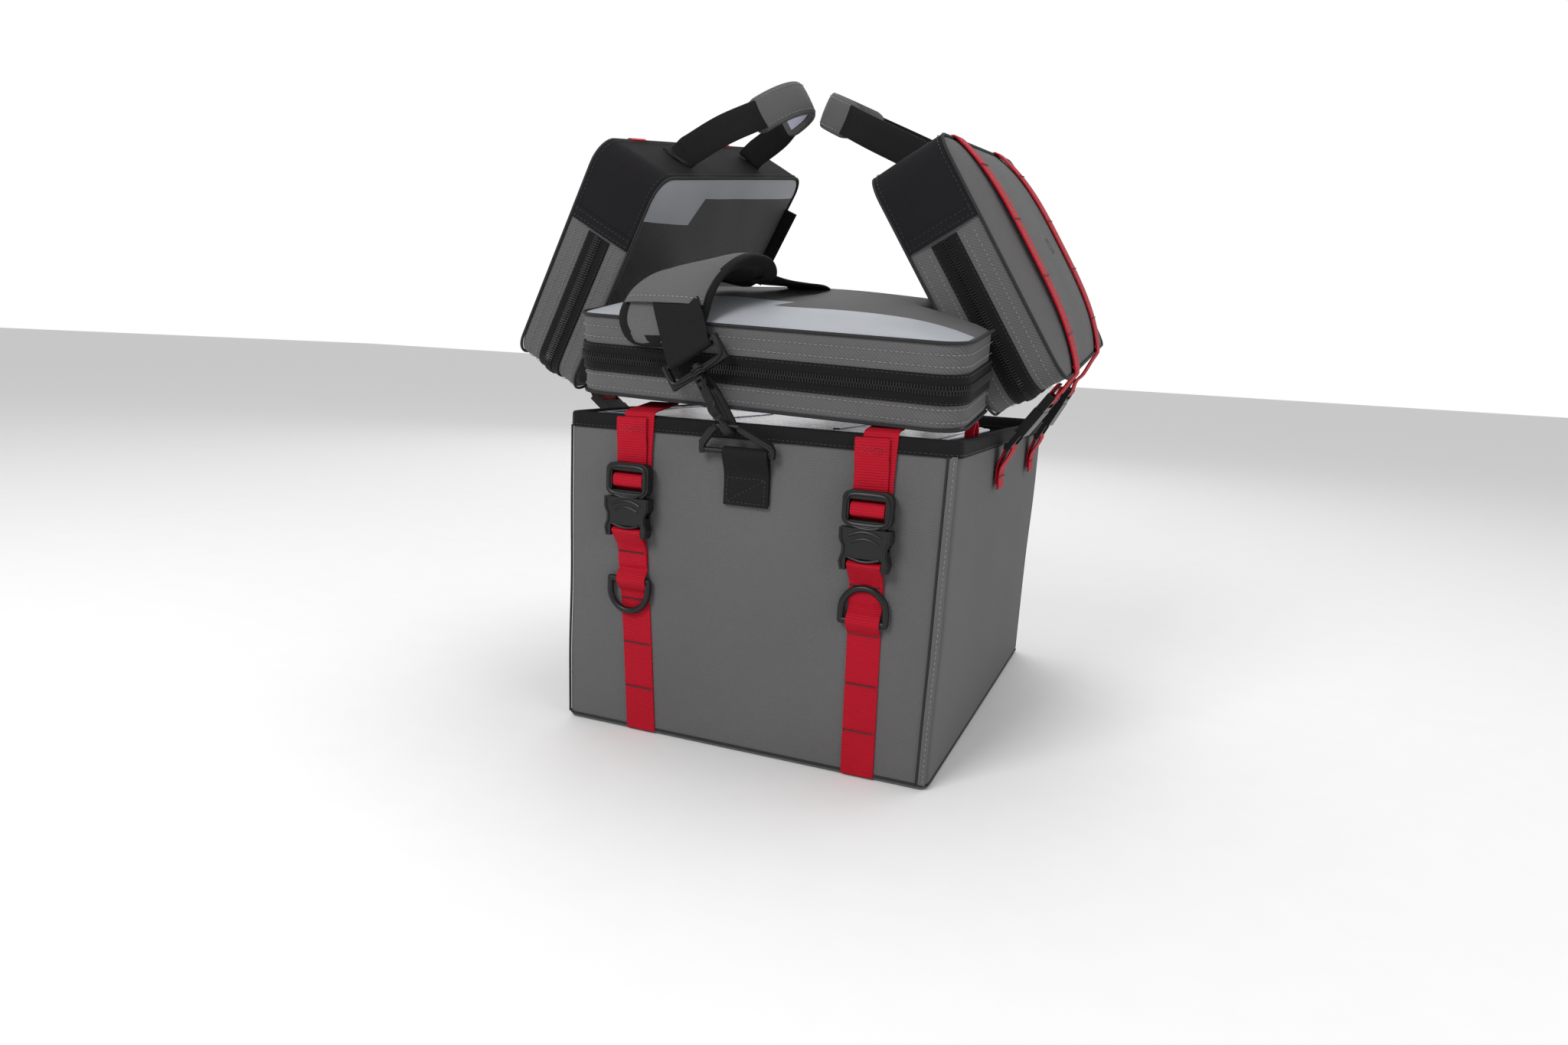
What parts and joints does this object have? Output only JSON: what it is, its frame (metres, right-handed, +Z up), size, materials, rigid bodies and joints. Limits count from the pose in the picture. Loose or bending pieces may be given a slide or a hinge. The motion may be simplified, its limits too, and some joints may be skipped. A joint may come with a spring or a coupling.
{
  "type": "soft tackle crate",
  "caption": "Open-top soft tackle crate with a shoulder strap, a zip case tethered across its rim and two zip cases that swing on buckled side straps.",
  "frame": {"origin": "middle of the crate's floor, on the ground", "axes": "+X to the right seen from the front, +Y to the back, +Z up"},
  "size_m": [0.4676, 0.4468, 0.5344],
  "materials": {
    "wall_fabric": "coated oxford weave",
    "case_fabric": "coated oxford weave",
    "binding": "ribbed grosgrain",
    "red_webbing": "ribbed webbing",
    "black_webbing": "herringbone webbing",
    "black_plastic": "moulded satin",
    "pad_fabric": "oxford weave, bound edge",
    "clear_plastic": "clear moulded",
    "spine_fabric": "fine dark weave",
    "zip_tape": "woven tape and coil",
    "grip_fabric": "oxford weave",
    "zip_metal": "black painted"
  },
  "bodies": {
    "crate": {"front_wall": "wall_fabric", "back_wall": "wall_fabric", "left_wall": "wall_fabric", "right_wall": "wall_fabric", "floor_panel": "wall_fabric", "rim_binding": "binding", "daisy_webbing_left": "red_webbing", "daisy_webbing_right": "red_webbing", "buckle_female_left": "black_plastic", "buckle_female_right": "black_plastic", "tether_strap_left": "red_webbing", "tether_strap_right": "red_webbing", "front_tab": "black_webbing", "swivel_loop": "black_plastic", "rear_tab": "black_webbing", "rear_snap_hook": "black_plastic", "shoulder_webbing": "black_webbing", "shoulder_pad": "pad_fabric", "box_trays": "clear_plastic", "box_lids": "clear_plastic", "rim_loops": "red_webbing", "centre_top_shell": "case_fabric", "centre_bottom_shell": "case_fabric", "centre_spine": "spine_fabric", "centre_zip": "zip_tape"},
    "dring_left": {"dring_left": "black_plastic"},
    "dring_right": {"dring_right": "black_plastic"},
    "plug_left": {"buckle_male_left": "black_plastic", "strap_wrap_left": "red_webbing"},
    "plug_right": {"buckle_male_right": "black_plastic", "strap_wrap_right": "red_webbing"},
    "front_ring": {"front_ring": "black_plastic"},
    "rear_ring": {"rear_ring": "black_plastic"},
    "snap_hook": {"snap_hook": "black_plastic"},
    "hook_gate": {"hook_gate": "black_plastic"},
    "centre_slider": {"centre_slider": "zip_metal"},
    "centre_pull": {"centre_pull": "zip_metal"},
    "centre_handle": {"centre_handle": "black_webbing"},
    "left_link": {"left_link_buckles": "black_plastic", "left_link_webbing": "red_webbing"},
    "left_case": {"left_outer_shell": "case_fabric", "left_inner_shell": "case_fabric", "left_spine": "spine_fabric", "left_zip": "zip_tape", "left_strips": "red_webbing"},
    "left_handle": {"left_handle": "black_webbing", "left_grip": "grip_fabric"},
    "left_slider": {"left_slider": "zip_metal"},
    "left_pull": {"left_pull": "zip_metal"},
    "right_link": {"right_link_buckles": "black_plastic", "right_link_webbing": "red_webbing"},
    "right_case": {"right_outer_shell": "case_fabric", "right_inner_shell": "case_fabric", "right_spine": "spine_fabric", "right_zip": "zip_tape", "right_strips": "red_webbing"},
    "right_handle": {"right_handle": "black_webbing", "right_grip": "grip_fabric"},
    "right_slider": {"right_slider": "zip_metal"},
    "right_pull": {"right_pull": "zip_metal"}
  },
  "joints": [
    {"name": "dring_left_hinge", "type": "hinge", "parent": "crate", "child": "dring_left", "pos_m": [-0.094, -0.2046, 0.122], "axis": [-1, 0, 0], "range_deg": [0, 170]},
    {"name": "dring_right_hinge", "type": "hinge", "parent": "crate", "child": "dring_right", "pos_m": [0.0955, -0.2046, 0.117], "axis": [1, 0, 0], "range_deg": [0, 170]},
    {"name": "plug_left_slide", "type": "slide", "parent": "crate", "child": "plug_left", "axis": [0, 0, 1], "range_m": [0, 0.02]},
    {"name": "plug_right_slide", "type": "slide", "parent": "crate", "child": "plug_right", "axis": [0, 0, 1], "range_m": [0, 0.02]},
    {"name": "front_ring_hinge", "type": "hinge", "parent": "crate", "child": "front_ring", "pos_m": [-0.007, -0.2065, 0.229], "axis": [1, 0, 0], "range_deg": [-6, 0]},
    {"name": "rear_ring_hinge", "type": "hinge", "parent": "crate", "child": "rear_ring", "pos_m": [0.007, 0.2065, 0.229], "axis": [-1, 0, 0], "range_deg": [-6, 0]},
    {"name": "hook_swivel", "type": "hinge", "parent": "crate", "child": "snap_hook", "pos_m": [-0.012, -0.2132, 0.24742], "axis": [-0.5446, 0, 0.8387], "range_deg": [-8, 8]},
    {"name": "hook_gate_hinge", "type": "hinge", "parent": "snap_hook", "child": "hook_gate", "pos_m": [-0.03106, -0.21995, 0.27677], "axis": [0.8387, 0, 0.5446], "range_deg": [0, 18], "stiffness_Nm_per_rad": 0.01, "springref_deg": -11.46},
    {"name": "centre_slider_slide", "type": "slide", "parent": "crate", "child": "centre_slider", "axis": [0.0049, 0.9877, 0.1564], "range_m": [0, 0.074]},
    {"name": "centre_pull_hinge", "type": "hinge", "parent": "centre_slider", "child": "centre_pull", "pos_m": [-0.15834, -0.14883, 0.30168], "axis": [-0.031, 0.1564, -0.9872], "range_deg": [0, 90]},
    {"name": "centre_handle_hinge", "type": "hinge", "parent": "crate", "child": "centre_handle", "pos_m": [0.00193, 0.00031, 0.32028], "axis": [0.9995, 0, -0.0314], "range_deg": [0, 28]},
    {"name": "left_link_swing", "type": "hinge", "parent": "crate", "child": "left_link", "pos_m": [-0.1635, 0, 0.222], "axis": [0, -1, 0], "range_deg": [0, 115]},
    {"name": "left_case_swing", "type": "hinge", "parent": "left_link", "child": "left_case", "pos_m": [-0.25798, 0.00712, 0.31232], "axis": [0, -0.9848, -0.1736], "range_deg": [0, 55.2]},
    {"name": "left_handle_hinge", "type": "hinge", "parent": "left_case", "child": "left_handle", "pos_m": [-0.13075, -0.00841, 0.47242], "axis": [0, -0.9848, -0.1736], "range_deg": [0, 60]},
    {"name": "left_slider_slide", "type": "slide", "parent": "left_case", "child": "left_slider", "axis": [0.5, -0.1504, 0.8529], "range_m": [0, 0.074]},
    {"name": "left_pull_hinge", "type": "hinge", "parent": "left_slider", "child": "left_pull", "pos_m": [-0.20625, 0.17147, 0.37135], "axis": [0.866, 0.0868, -0.4924], "range_deg": [0, 150]},
    {"name": "right_link_swing", "type": "hinge", "parent": "crate", "child": "right_link", "pos_m": [0.1635, 0, 0.238], "axis": [0, 1, 0], "range_deg": [0, 115]},
    {"name": "right_case_swing", "type": "hinge", "parent": "right_link", "child": "right_case", "pos_m": [0.20722, 0.02716, 0.30973], "axis": [0, 0.9925, 0.1219], "range_deg": [0, 55.2]},
    {"name": "right_handle_hinge", "type": "hinge", "parent": "right_case", "child": "right_handle", "pos_m": [0.07721, 0.02029, 0.4682], "axis": [0, 0.9925, 0.1219], "range_deg": [0, 60]},
    {"name": "right_slider_slide", "type": "slide", "parent": "right_case", "child": "right_slider", "axis": [-0.515, -0.1045, 0.8508], "range_m": [0, 0.074]},
    {"name": "right_pull_hinge", "type": "hinge", "parent": "right_slider", "child": "right_pull", "pos_m": [0.15498, 0.19448, 0.35919], "axis": [0.8572, -0.0628, 0.5112], "range_deg": [0, 150]}
  ],
  "couplings": [
    {"joint": "left_case_swing", "follows": "left_link_swing", "ratio": 0.48},
    {"joint": "right_case_swing", "follows": "right_link_swing", "ratio": 0.48}
  ]
}
